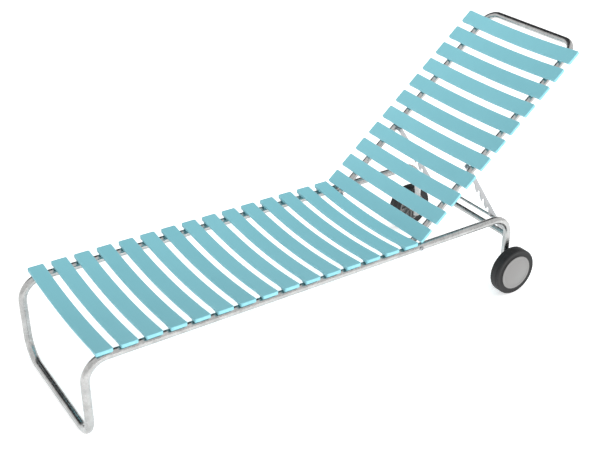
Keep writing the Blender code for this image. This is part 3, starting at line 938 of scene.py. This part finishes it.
@dataclass(frozen=True)
class Slats:
    """The moulded slats: ribbed channels that sag in the middle, with saddles over the tubes."""

    length: float = 0.560
    width: float = 0.055
    pitch: float = 0.080
    sag: float = 0.019
    rise: float = 0.032
    corner: float = 0.006
    edge: float = 0.0016
    plate: float = 0.0032
    skirt: float = 0.0072
    seat_end_skirt: float = 0.0130
    back_end_skirt: float = 0.0104
    level_from: float = 0.037
    level_to: float = 0.075
    wall: float = 0.0026
    end_wall: float = 0.0032
    lip: float = 0.0007
    rib_pitch: float = 0.040
    rib_half: float = 0.0010
    rib_show: float = 0.12
    draft: float = 0.0003
    end_draft: float = 0.0004
    between: float = 0.007
    past_cavity: tuple[float, float] = (0.012, 0.018)
    saddle_wall: float = 0.003
    saddle_play: float = 0.0004
    saddle_open: float = 0.002
    saddle_inset: float = 0.0034
    saddle_break: float = 0.0008
    seat_count: int = 15
    back_count: int = 11
    first_seat: float = 0.0625
    first_back: float = 0.0402

    def stations(self) -> Array:
        """Places along the slat: close together round the corners and at both faces of each rib.

        Returns:
            The places, in order.
        """
        turn = np.linspace(0, math.pi / 2, 9)
        near_end = self.length / 2 - self.corner * (1 - np.cos(turn))
        cavity_end = self.length / 2 - np.array([self.end_wall, self.end_wall + self.end_draft])
        ribs = np.arange(-6, 7) * self.rib_pitch
        face = np.array([self.rib_half, self.rib_half + self.draft])
        faces = (ribs[:, None] + np.concatenate([-face[::-1], face])).ravel()
        pair = np.array([-self.between, self.between])
        between = ((ribs[1:] + ribs[:-1]) / 2)[:, None] + pair
        past_cavity = self.length / 2 - np.array(self.past_cavity)
        ends = np.concatenate([near_end, cavity_end, past_cavity])
        return np.unique(np.round(np.concatenate([faces, between.ravel(), ends, -ends]), 7))

    def top(self, across: Array) -> Array:
        """The top's height above its ends: -sag (1 - (2 y / length) squared)."""
        return -self.sag * (1 - (2 * across / self.length) ** 2)

    def shell(self, end_skirt: float) -> Sheet:
        """The slat's skin in its own frame: a channel section carried along the sagging line.

        Within the corner radius c of an end, at distance e from it, the half width is W/2 - c +
        sqrt(c squared - (c - e) squared), and within the edge radius the top drops by the same
        circle's height. The skirts deepen towards the ends, where their lower edges run level. The
        ceiling is at the plate's thickness, and comes down to the skirts' level at the ends and
        almost to it at the ribs.

        Args:
            end_skirt: The skirts' depth below the top's ends.

        Returns:
            The closed surface.
        """
        y = self.stations()
        y = np.concatenate([y[:1], y, y[-1:]])
        from_end = self.length / 2 - np.abs(y)
        inside = np.clip(from_end, 0, self.corner)
        half = self.width / 2 - self.corner + np.sqrt(self.corner**2 - (self.corner - inside) ** 2)
        near = np.clip(from_end, 0, self.edge)
        drop = self.edge - np.sqrt(self.edge**2 - (self.edge - near) ** 2)
        level = 1 - ease(from_end, self.level_from, self.level_to)
        depth = self.skirt + (end_skirt + self.top(y) - self.skirt) * level
        low = depth - drop
        from_rib = np.abs(np.mod(y + self.rib_pitch / 2, self.rib_pitch) - self.rib_pitch / 2)
        share = np.where(from_rib < self.rib_half + self.draft / 2, self.rib_show, 1.0)
        hollow = ease(from_end, self.end_wall, self.end_wall + self.end_draft) * share
        ceiling = low - (depth - self.plate) * hollow
        r, lip, inner = self.edge, self.lip, half - self.wall
        arc = np.radians([90, 68, 45, 22, 0])
        out = [half * 0, half * 0.45, *[half - r + r * math.cos(t) for t in arc]]
        up = [-drop, -drop, *[-(drop + r - r * math.sin(t)) for t in arc]]
        out += [half, half - lip * 0.3, half - lip, inner + lip, inner, inner - lip, half * 0]
        up += [-low + lip, -low + lip * 0.3, -low, -low]
        up += [-np.maximum(low - lip * hollow, ceiling), -ceiling, -ceiling]
        # The share of painted highlight round the section: most on the rounded top edges and the
        # top of the skirts.
        edge_highlight = [0.0, 0.0, 0.4, 1.0, 1.0, 1.0, 0.5, 0.1] + [0.0] * 6
        out, up = np.stack(out, 1), np.stack(up, 1)
        across = np.concatenate([out, -out[:, -2:0:-1]], 1)
        height = np.concatenate([up, up[:, -2:0:-1]], 1)
        edge = np.concatenate([edge_highlight, edge_highlight[-2:0:-1]])
        across[[0, -1]] = 0
        height[[0, -1]] = -end_skirt / 2
        height = height + self.top(y)[:, None]
        points = np.stack([across, np.broadcast_to(y[:, None], across.shape), height], -1)
        return Sheet(points, values={"edge": edge})

    def saddle(self, tube_y: float, radius: float, side: Side) -> Sheet:
        """A block under the slat whose lower side is an arc round the tube.

        Args:
            tube_y: The tube's distance from the middle plane.
            radius: The tube's radius.
            side: Which end of the slat.

        Returns:
            The closed block.
        """
        groove = radius + self.saddle_play
        lip = radius - self.saddle_open
        reach = math.sqrt(groove**2 - lip**2)
        angle = np.linspace(math.asin(lip / groove), math.pi - math.asin(lip / groove), 13)
        outer, inner = tube_y + reach + self.saddle_wall, tube_y - reach - self.saddle_wall
        roof = float(self.top(np.array(tube_y))) - self.plate * 0.7
        arc = np.stack([tube_y + groove * np.cos(angle), groove * np.sin(angle) - self.rise], -1)
        foot = lip - self.rise
        cut = self.saddle_break
        start = np.array([(tube_y, roof), (outer, roof), (outer, foot + cut), (outer - cut, foot)])
        stop = np.array([(inner + cut, foot), (inner, foot + cut), (inner, roof)])
        outline = np.concatenate([start, arc, stop]) * (side.value, 1)
        middle = np.array([tube_y * side.value, roof - 0.001])
        return extruded(outline, middle, self.width / 2 - self.saddle_inset, 0.0006)

    def lay(
        self,
        name: str,
        node: str,
        tilt: Tilt,
        reach: float,
        tube_y: float,
        radius: float,
        tone: float,
    ) -> None:
        """Places one slat.

        Args:
            name: The piece's name.
            node: The CAD node that it stands for, which also gives its body.
            tilt: The frame it lies on.
            reach: Its middle's distance along that frame.
            tube_y: The tubes' distance from the middle plane.
            radius: The tubes' radius.
            tone: Its share between the finish's two colours.
        """
        shapes = []
        seat = node.startswith("seat")
        shell = self.shell(self.seat_end_skirt if seat else self.back_end_skirt)
        saddles = [self.saddle(tube_y, radius, side) for side in Side]
        for sheet in [shell, *saddles]:
            local = sheet.points + np.array([reach, 0.0, self.rise])
            values = {**sheet.values, "tone": np.full(local.shape[:2], tone)}
            shapes.append(Sheet(tilt.place(local), values=values))
        body = Body.FRAME.of() if seat else Body.BACKREST.of()
        show(name, shapes, SLAT, body, (node,))

    def build(self) -> None:
        """Lays the seat slats and then the backrest slats."""
        s = SIZES
        random = np.random.default_rng(7)
        seat = Tilt(np.array([s.foot_x, 0.0, s.rail_z]), 0.0)
        for i in range(1, self.seat_count + 1):
            reach = self.first_seat + (i - 1) * self.pitch
            tone = random.random()
            node = f"seat_slat_{i:02d}"
            self.lay(f"seat_board_{i:02d}", node, seat, reach, s.rail_y, s.rail_radius, tone)
        for i in range(1, self.back_count + 1):
            reach = self.first_back + (i - 1) * self.pitch
            tone = random.random()
            node = f"back_slat_{i:02d}"
            name = f"back_board_{i:02d}"
            self.lay(name, node, s.backrest, reach, s.back_y, s.back_radius, tone)


@dataclass(frozen=True)
class Backrest:
    """The backrest's bent tube, whose top is the handle, and the bolts that it turns on."""

    reach: float = 0.903
    tail: float = 0.016
    bend: float = 0.050
    wall: float = 0.0012
    bolt: float = 0.004
    head: float = 0.008
    head_height: float = 0.0045
    spacer: float = 0.008
    nut: float = 0.0075
    nut_height: float = 0.0065
    bore_drawn: float = 0.05

    def build(self) -> None:
        """Makes the hoop and both hinges."""
        s = SIZES
        ways = [(-self.tail, 1), (self.reach, 1), (self.reach, -1), (-self.tail, -1)]
        corners = [np.array([up, sign * s.back_y, 0.0]) for up, sign in ways]
        points, tangents = bent_path(corners, [self.bend, self.bend])
        first = np.broadcast_to(s.backrest.normal, points.shape)
        line = Line(s.backrest.place(points), s.backrest.turn(tangents), first)
        hoop = tube(line, s.back_radius, self.wall, depth=self.bore_drawn)
        show("backrest_hoop", [hoop], STEEL, Body.BACKREST.of(), ("backrest_frame",))
        for side in Side:
            self.hinge(side)

    def hinge(self, side: Side) -> None:
        """The domed socket bolt, its spacer bush and its nut on one side.

        Args:
            side: Which side of the lounger.
        """
        s = SIZES
        seat = s.rail_y + s.rail_radius + s.gap
        top = seat + self.head_height
        nut_high = s.back_y - s.back_radius - s.gap
        nut_low = nut_high - self.nut_height
        end = nut_low - 0.002
        body = Body.FRAME.of()
        head = [
            (0, top - 0.0022),
            (0.0024, top - 0.0022, 1),
            (0.0026, top - 0.0002, 1),
            (0.0034, top),
            (0.0050, top - 0.0005),
            (0.0064, top - 0.0014),
            (0.0074, top - 0.0026),
            (self.head - 0.0002, seat + 0.0009),
            (self.head, seat + 0.0005),
            (self.head - 0.0003, seat),
            (self.bolt, seat),
            (self.bolt, end + 0.0006),
            (self.bolt - 0.0006, end),
            (0, end),
        ]
        fit("pivot_bolt", "hinge_bolt", head, HINGE, side, FASTENER, body)
        low, high = s.back_y + s.back_radius + s.gap, s.rail_y - s.rail_radius - s.gap
        bush = [
            (self.bolt + 0.0003, high),
            (self.spacer - BREAK, high),
            (self.spacer, high - BREAK),
            (self.spacer - 0.0006, (high + low) / 2),
            (self.spacer, low + BREAK),
            (self.spacer - BREAK, low),
            (self.bolt + 0.0003, low),
        ]
        fit("pivot_bush", "hinge_spacer", bush, HINGE, side, NYLON, body)
        nut = hexagon_nut(self.bolt + 0.0002, self.nut, nut_low, nut_high)
        fit("pivot_nut", "hinge_nut", nut, HINGE, side, FASTENER, body)


def hexagon_nut(bore: float, radius: float, low: float, high: float) -> list[tuple]:
    """The profile of a hexagonal nut with chamfered corners.

    Args:
        bore: The bore's radius.
        radius: The radius across its corners.
        low: Its inner face's distance outward.
        high: Its outer face's distance outward.

    Returns:
        Rows for turned().
    """
    flat = radius * math.cos(math.pi / 6)
    chamfer = 0.0009
    return [
        (bore, high - BREAK),
        (bore + BREAK, high),
        (flat, high),
        (radius, high - chamfer, 1),
        (radius, low + chamfer, 1),
        (flat, low),
        (bore + BREAK, low),
        (bore, low + BREAK),
    ]


@dataclass(frozen=True)
class PropBars:
    """The flat bars with five hooked teeth each, and the shouldered pins that they hang on."""

    y: float = 0.190
    thickness: float = 0.005
    length: float = 0.386
    half_width: float = 0.009
    shank: float = 0.007
    seat_depth: float = 0.0075
    seat: float = 0.0054
    pitch: float = 0.048
    teeth: int = 5
    in_use: int = 3
    pin: float = 0.004
    shoulder: float = 0.007
    cap: float = 0.0075
    cap_height: float = 0.004
    edge: float = 0.0006
    play: float = 0.0004
    pin_edge: float = 0.0004

    def to_rod(self) -> Array:
        """From the pivot to the catch rod."""
        return (SIZES.rod - PROP_PIVOT) * (1, 0, 1)

    def along(self) -> Array:
        """The bar's direction, turned from the rod's so that the rod lies in its notch.

        Returns:
            The unit direction.
        """
        reach = self.to_rod()
        angle = math.atan2(reach[2], reach[0]) + math.asin(self.seat_depth / np.linalg.norm(reach))
        return np.array([math.cos(angle), 0.0, math.sin(angle)])

    def outline(self) -> Array:
        """The bar's edge: a round end, a shank, the teeth, and a round tail.

        Each tooth rises smoothly to a tip in front of the rod, and its notch is an arc round the
        rod.

        Returns:
            Points (distance along, distance to the front).
        """
        notch = math.sqrt(float(self.to_rod() @ self.to_rod()) - self.seat_depth**2)
        first = np.radians(np.linspace(270, 100, 12))
        head = self.half_width * np.stack([np.cos(first), np.sin(first)], -1)
        neck = np.array([(0.004, self.shank + 0.001), (0.014, self.shank)])
        rise = np.array(
            [
                (-0.0365, 0.0050),
                (-0.031, 0.0082),
                (-0.025, 0.0108),
                (-0.018, 0.0127),
                (-0.011, 0.0138),
                (-0.0045, 0.0142),
            ]
        )
        tip = np.array([(-0.0012, 0.0141), (-0.0002, 0.0139), (0.0001, 0.0134), (-0.0003, 0.0130)])
        turn = np.radians(np.linspace(102, 275, 10))
        round_rod = np.stack([np.cos(turn), np.sin(turn)], -1)
        arc = np.array([0, self.seat_depth]) + self.seat * round_rod
        floor = np.array([(0.005, 0.0024), (0.009, 0.0036)])
        tooth = np.concatenate([rise, tip, arc, floor])
        shift = notch + (np.arange(self.teeth) - self.in_use) * self.pitch
        comb = tooth[None] + np.stack([shift, np.zeros(self.teeth)], -1)[:, None]
        comb[0, : len(rise), 1] = np.maximum(comb[0, : len(rise), 1], self.shank)
        tail = self.length - self.half_width
        last = np.radians(np.linspace(100, -90, 14))
        end = np.array([tail, 0]) + self.half_width * np.stack([np.cos(last), np.sin(last)], -1)
        return np.concatenate([head, neck, comb.reshape(-1, 2), end])

    def build(self) -> None:
        """Makes both bars with their pins and caps."""
        along = self.along()
        front = np.array([along[2], 0.0, -along[0]])
        outer, inner = self.y + self.thickness / 2, self.y - self.thickness / 2
        root = SIZES.back_y - SIZES.back_radius - SIZES.gap
        low = inner - self.play - self.cap_height
        body = Body.BACKREST.of()
        for side in Side:
            place = PROP_PIVOT * (1, 0, 1) + side.value * self.y * Y
            bar = plate(self.outline(), place, along, front, self.thickness)
            name, node = f"notched_bar_{side.word}", f"prop_bar_{side.word}"
            show(name, [bar], BAR, Body.PROP.of(side), (node,), bevel=self.edge)
            pin = [
                (0, root),
                (self.shoulder - self.pin_edge, root),
                (self.shoulder, root - self.pin_edge),
                (self.shoulder, outer + 2 * self.play),
                (self.shoulder - self.pin_edge, outer + self.play),
                (self.pin, outer + self.play),
                (self.pin, low + 0.0012),
                (0, low + 0.0012),
            ]
            fit("shoulder_pin", "prop_pin", pin, PROP_PIVOT, side, FASTENER, body)
            cap = [
                (0, low + 0.0009),
                (self.pin + 0.0002, low + 0.0009),
                (self.pin + 0.0002, inner - self.play),
                (self.cap - 0.0003, inner - self.play),
                (self.cap, inner - 0.0007),
                (self.cap, low + 0.0016),
                (self.cap - 0.0007, low + 0.0007),
                (self.cap - 0.0022, low + 0.0001),
                (0, low - 0.0003),
            ]
            fit("retaining_cap", "prop_cap", cap, PROP_PIVOT, side, FASTENER, body)


@dataclass(frozen=True)
class Wheels:
    """The wheels: a ribbed black tyre on a spoked core, a flat hub disc, and the axle parts."""

    radius: float = float(AXLE[2])
    inner: float = 0.284
    width: float = 0.0415
    bore: float = 0.060
    shoulder: float = 0.007
    shoulder_drop: float = 0.9
    power: float = 2.6
    disc: float = 0.065
    disc_thickness: float = 0.003
    rim_wall: float = 0.005
    web: float = 0.006
    hub: float = 0.016
    axle: float = 0.006
    spokes: int = 8
    spoke_half: float = 0.0011
    recess: float = 0.016
    groove_place: float = 0.42
    groove_width: float = 0.055
    groove_depth: float = 0.0014
    cuts: int = 54
    cut_depth: float = 0.0008
    nut: float = 0.011
    washer: float = 0.013

    @property
    def outer(self) -> float:
        """The tyre's outer face."""
        return self.inner + self.width

    def tyre(self, side: Side) -> None:
        """The tyre: a rounded section with two grooves round it and cross ribs on its shoulders.

        The crown's radius falls off as a superellipse of power 2.6 in the shoulders. Each groove is
        a smooth dip, and the ribs are a stepped cosine round the tyre, kept to the shoulders.

        Args:
            side: Which side of the lounger.
        """
        across = np.linspace(-1, 1, 45)
        half = self.width / 2
        fall = np.clip((np.abs(across) * half - (half - self.shoulder)) / self.shoulder, 0, 1)
        power, drop = self.power, self.shoulder * self.shoulder_drop
        crown = self.radius - drop * (1 - (1 - fall**power) ** (1 / power))
        places = (-self.groove_place, self.groove_place)
        grooves = sum(np.exp(-(((across - place) / self.groove_width) ** 4)) for place in places)
        crown = crown - self.groove_depth * grooves
        segments = 216
        angle = np.linspace(0, 2 * np.pi, segments, endpoint=False)
        on_shoulder = ease(np.abs(across), 0.5, 0.6) * (1 - ease(np.abs(across), 0.93, 1.0))
        cuts = self.cut_depth * ease(np.cos(self.cuts * angle), 0.45, 0.85)
        radius = crown[:, None] - on_shoulder[:, None] * cuts
        middle = self.inner + half
        dips = [
            (0.0008, -0.0001),
            (0.0030, -0.0009),
            (0.0055, -0.0012),
            (0.0120, -0.0012),
            (0.0150, -0.0004),
        ]
        wall = [(self.radius - drop - depth, half + inset) for depth, inset in dips]
        wall.append((self.bore, half - 0.0010))
        rows_out = np.array([(r, middle + o) for r, o in wall])
        rows_in = np.array([(r, middle - o) for r, o in wall])[::-1]
        profile_y = np.concatenate([rows_in[:, 1], middle + across * half, rows_out[:, 1]])
        rings = np.concatenate(
            [
                np.repeat(rows_in[:, :1], segments, 1),
                radius,
                np.repeat(rows_out[:, :1], segments, 1),
            ]
        )
        points = np.stack(
            [
                AXLE[0] + rings * np.cos(angle),
                np.repeat(profile_y[:, None] * side.value, segments, 1),
                AXLE[2] + rings * np.sin(angle),
            ],
            -1,
        )
        tread = np.concatenate([np.zeros(len(wall)), 1.0 - 0.6 * grooves, np.zeros(len(wall))])
        shape = Sheet(points, rows_closed=True, values={"tread": tread[:, None]})
        name, node = f"tyre_ring_{side.word}", f"tyre_{side.word}"
        show(name, [shape], TYRE, Body.WHEEL.of(side), (node,), crease=50)

    def core(self, side: Side) -> None:
        """The moulded core: rim, web and hub turned about the axle, and ribs between hub and rim.

        Args:
            side: Which side of the lounger.
        """
        low, high = self.inner, self.outer
        rim = self.bore - SIZES.gap
        web_low = (low + high - self.web) / 2
        hub_high = high - self.recess
        bore = self.axle + 0.0004
        ring = [
            (rim, high - 0.0015),
            (rim, low + 0.0015),
            (rim - 0.0006, low + 0.001),
            (rim - self.rim_wall + 0.0006, low + 0.001),
            (rim - self.rim_wall, low + 0.0016),
            (rim - self.rim_wall, web_low - 0.0015),
            (rim - self.rim_wall - 0.0015, web_low),
            (self.hub + 0.0015, web_low),
            (self.hub, web_low - 0.0015),
            (self.hub, low + 0.0006),
            (self.hub - 0.0006, low),
            (bore + 0.0005, low),
            (bore, low + 0.0005),
            (bore, hub_high),
            (self.hub, hub_high),
            (self.hub, web_low + self.web),
            (rim - self.rim_wall, web_low + self.web),
            (rim - self.rim_wall, high - 0.001),
            (rim - 0.0005, high - 0.001),
        ]
        shapes: list[Sheet | Solid] = [turned(ring, AXLE, side, segments=96)]
        start, stop = self.hub - 0.001, rim - self.rim_wall + 0.001
        for angle in np.arange(self.spokes) * 2 * np.pi / self.spokes:
            along = np.array([math.cos(angle), 0.0, math.sin(angle)])
            across = np.array([-math.sin(angle), 0.0, math.cos(angle)])
            corners = np.array([(0, 0), (1, 0), (1, 1), (0, 1)], float)
            reach = start + corners[:, :1] * (stop - start)
            face = np.array([AXLE[0], 0, AXLE[2]]) + reach * along
            deep = low + 0.004 + corners[:, 1:] * (web_low - low - 0.003)
            face = face + deep * side.value * Y
            half = across * self.spoke_half
            points = np.concatenate([face - half, face + half])
            sides = [[i, i + 4, (i + 1) % 4 + 4, (i + 1) % 4] for i in range(4)]
            shapes.append(Solid(points, [[0, 1, 2, 3], [7, 6, 5, 4], *sides]))
        node = f"wheel_core_{side.word}"
        show(f"spoked_core_{side.word}", shapes, HUB, Body.WHEEL.of(side), (node,))

    def cover(self, side: Side) -> None:
        """The hub disc: flat, with a rounded rim, a fine ring near its edge and a spigot.

        Args:
            side: Which side of the lounger.
        """
        gap = SIZES.gap
        face = self.outer + gap
        top = face + self.disc_thickness
        spigot = self.bore - gap - self.rim_wall - gap
        profile = [
            (0, top - 0.0003),
            (self.disc - 0.0110, top - 0.0003),
            (self.disc - 0.0105, top - 0.0006),
            (self.disc - 0.0098, top - 0.0006),
            (self.disc - 0.0093, top - 0.0001),
            (self.disc - 0.0020, top),
            (self.disc - 0.0009, top - 0.0003),
            (self.disc - 0.0002, top - 0.0010),
            (self.disc, top - 0.0018),
            (self.disc, face + 0.0004),
            (self.disc - 0.0005, face),
            (spigot, face),
            (spigot, face - 0.006),
            (spigot - 0.003, face - 0.006),
            (spigot - 0.003, face),
            (0, face),
        ]
        body = Body.WHEEL.of(side)
        fit("hub_cover", "hub_disc", profile, AXLE, side, HUB, body, segments=120)

    def axle_parts(self, side: Side) -> None:
        """The axle bolt, thrust washer and nut, which stay on the leg.

        Args:
            side: Which side of the lounger.
        """
        s = SIZES
        body = Body.FRAME.of()
        leg_out, leg_in = s.rail_y + s.rail_radius + s.gap, s.rail_y - s.rail_radius - s.gap
        head = self.outer - self.recess + 0.0004
        end = leg_in - 0.013
        bolt = [
            (0, head + 0.006),
            (0.0085, head + 0.006),
            (0.010, head + 0.005, 1),
            (0.010, head, 1),
            (self.axle, head),
            (self.axle, end + 0.001),
            (self.axle - 0.001, end),
            (0, end),
        ]
        fit("axle", "axle_bolt", bolt, AXLE, side, FASTENER, body)
        washer = [
            (self.axle + 0.0003, self.inner - 0.0004),
            (self.washer - 0.0004, self.inner - 0.0004),
            (self.washer, self.inner - 0.0009),
            (self.washer, leg_out + 0.0005),
            (self.washer - 0.0004, leg_out),
            (self.axle + 0.0003, leg_out),
        ]
        fit("thrust_washer", "axle_washer", washer, AXLE, side, NYLON, body)
        nut = hexagon_nut(self.axle + 0.0002, self.nut, leg_in - 0.010, leg_in)
        fit("lock_nut", "axle_nut", nut, AXLE, side, FASTENER, body)

    def build(self) -> None:
        """Makes both wheels."""
        for side in Side:
            self.tyre(side)
            self.core(side)
            self.cover(side)
            self.axle_parts(side)


# ---------------------------------------------------------------- stage


@dataclass(frozen=True)
class Lamp:
    """A soft square lamp: where it stands, what it points at, its size, power and colour."""

    name: str
    place: tuple[float, float, float]
    size: float
    power: float
    target: tuple[float, float, float] = (0.0, 0.0, 0.35)
    colour: str = "#ffffff"

    def build(self) -> None:
        """Makes the lamp, and keeps its square outline out of the steel's reflections."""
        light = bpy.data.lights.new(self.name, "AREA")
        light.size = self.size
        light.energy = self.power
        light.color = linear(self.colour)[:3]
        lamp = bpy.data.objects.new(self.name, light)
        bpy.context.scene.collection.objects.link(lamp)
        lamp.visible_glossy = False
        lamp.location = self.place
        aim = Vector(self.target) - Vector(self.place)
        lamp.rotation_euler = aim.to_track_quat("-Z", "Y").to_euler()


@dataclass(frozen=True)
class Studio:
    """The pale floor, the soft light and the camera."""

    floor_half: float = 40.0
    floor_glow: float = 0.45
    floor_cloud: float = 0.8
    dark_side: tuple[float, float, float] = (0.22, 0.80, 0.56)
    dark_rise: tuple[float, float] = (0.16, 0.27)
    dark_cosine: tuple[float, float] = (0.66, 0.82)
    dark_colour: str = "#38393b"
    lens: float = 61.99
    azimuth: float = math.radians(-33.0916)
    elevation: float = math.radians(28.9553)
    roll: float = math.radians(0.2092)
    camera_place: tuple[float, float, float] = (-1.7452, -2.6056, 2.0759)
    lamps: tuple[Lamp, ...] = (
        Lamp("key", (-0.4, -5.2, 1.0), 3.0, 205.0),
        Lamp("overhead", (2.0, -0.2, 4.0), 2.6, 66.0),
    )

    def floor(self) -> None:
        """A plain pale floor, part matt white and part glowing, so that shadows stay faint."""
        square = [(-1, -1, 0), (1, -1, 0), (1, 1, 0), (-1, 1, 0)]
        corners = np.array(square, float) * self.floor_half
        mesh = bpy.data.meshes.new("studio_floor")
        mesh.from_pydata(corners.tolist(), [], [[0, 1, 2, 3]])
        made = bpy.data.materials.new("white_studio_sweep")
        made.use_nodes = True
        tree = made.node_tree
        shader = tree.nodes["Principled BSDF"]
        where = add(tree, "TexCoord").outputs["Object"]
        cloud = add(tree, "TexNoise", {"Vector": where, "Scale": self.floor_cloud}).outputs[0]
        colours = {0: cloud, 6: linear("#f4f5f5"), 7: linear("#f8f8f8")}
        shade = add(tree, "Mix", colours, data_type="RGBA")
        tree.links.new(shade.outputs[2], shader.inputs["Base Color"])
        shader.inputs["Roughness"].default_value = 0.9
        shader.inputs["Emission Color"].default_value = (1.0, 1.0, 1.0, 1.0)
        shader.inputs["Emission Strength"].default_value = self.floor_glow
        mesh.materials.append(made)
        floor = bpy.data.objects.new("studio_floor", mesh)
        bpy.context.scene.collection.objects.link(floor)

    def sky(self) -> None:
        """Soft light from all round, and one dark patch.

        The patch is where a studio's dark side would be, above the horizon behind the head end. Its
        share is a smooth step of the cosine of the angle from its middle, times a smooth step up
        from the horizon. The steel's upper sides mirror it as a dark streak.
        """
        world = bpy.data.worlds.new("soft_studio")
        bpy.context.scene.world = world
        world.use_nodes = True
        tree = world.node_tree
        where = add(tree, "TexCoord").outputs["Generated"]
        up = add(tree, "SeparateXYZ", {0: where}).outputs[2]
        ends = {0: where, 1: self.dark_side}
        cosine = add(tree, "VectorMath", ends, operation="DOT_PRODUCT").outputs[1]
        steps = []
        for value, (low, high) in ((up, self.dark_rise), (cosine, self.dark_cosine)):
            limits = {"Value": value, "From Min": low, "From Max": high}
            step = add(tree, "MapRange", limits, interpolation_type="SMOOTHSTEP")
            steps.append(step.outputs["Result"])
        share = add(tree, "Math", {0: steps[0], 1: steps[1]}, operation="MULTIPLY").outputs[0]
        colours = {0: share, 6: linear("#ffffff"), 7: linear(self.dark_colour)}
        shade = add(tree, "Mix", colours, data_type="RGBA").outputs[2]
        tree.links.new(shade, tree.nodes["Background"].inputs["Color"])
        tree.nodes["Background"].inputs["Strength"].default_value = 1.0

    def camera(self) -> None:
        """The camera: turned by its azimuth, tipped by its elevation, then rolled."""
        lens = bpy.data.cameras.new("camera")
        lens.lens = self.lens
        lens.sensor_width = 36.0
        camera = bpy.data.objects.new("camera", lens)
        bpy.context.scene.collection.objects.link(camera)
        place = Matrix.Translation(self.camera_place)
        turn = Matrix.Rotation(self.azimuth, 4, "Z")
        tip = Matrix.Rotation(math.pi / 2 - self.elevation, 4, "X")
        camera.matrix_world = place @ turn @ tip @ Matrix.Rotation(self.roll, 4, "Z")
        bpy.context.scene.camera = camera

    def build(self) -> None:
        """Sets the stage."""
        self.floor()
        self.sky()
        self.camera()
        for lamp in self.lamps:
            lamp.build()
        bpy.context.scene.view_settings.view_transform = "Standard"


def main() -> None:
    """Builds the lounger and its stage."""
    logging.basicConfig(level=logging.INFO, format="%(message)s")
    for assembly in (MainFrame(), Slats(), Backrest(), PropBars(), Wheels(), Studio()):
        LOG.info("building %s", type(assembly).__name__)
        assembly.build()
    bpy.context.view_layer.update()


if __name__ == "__main__":
    main()
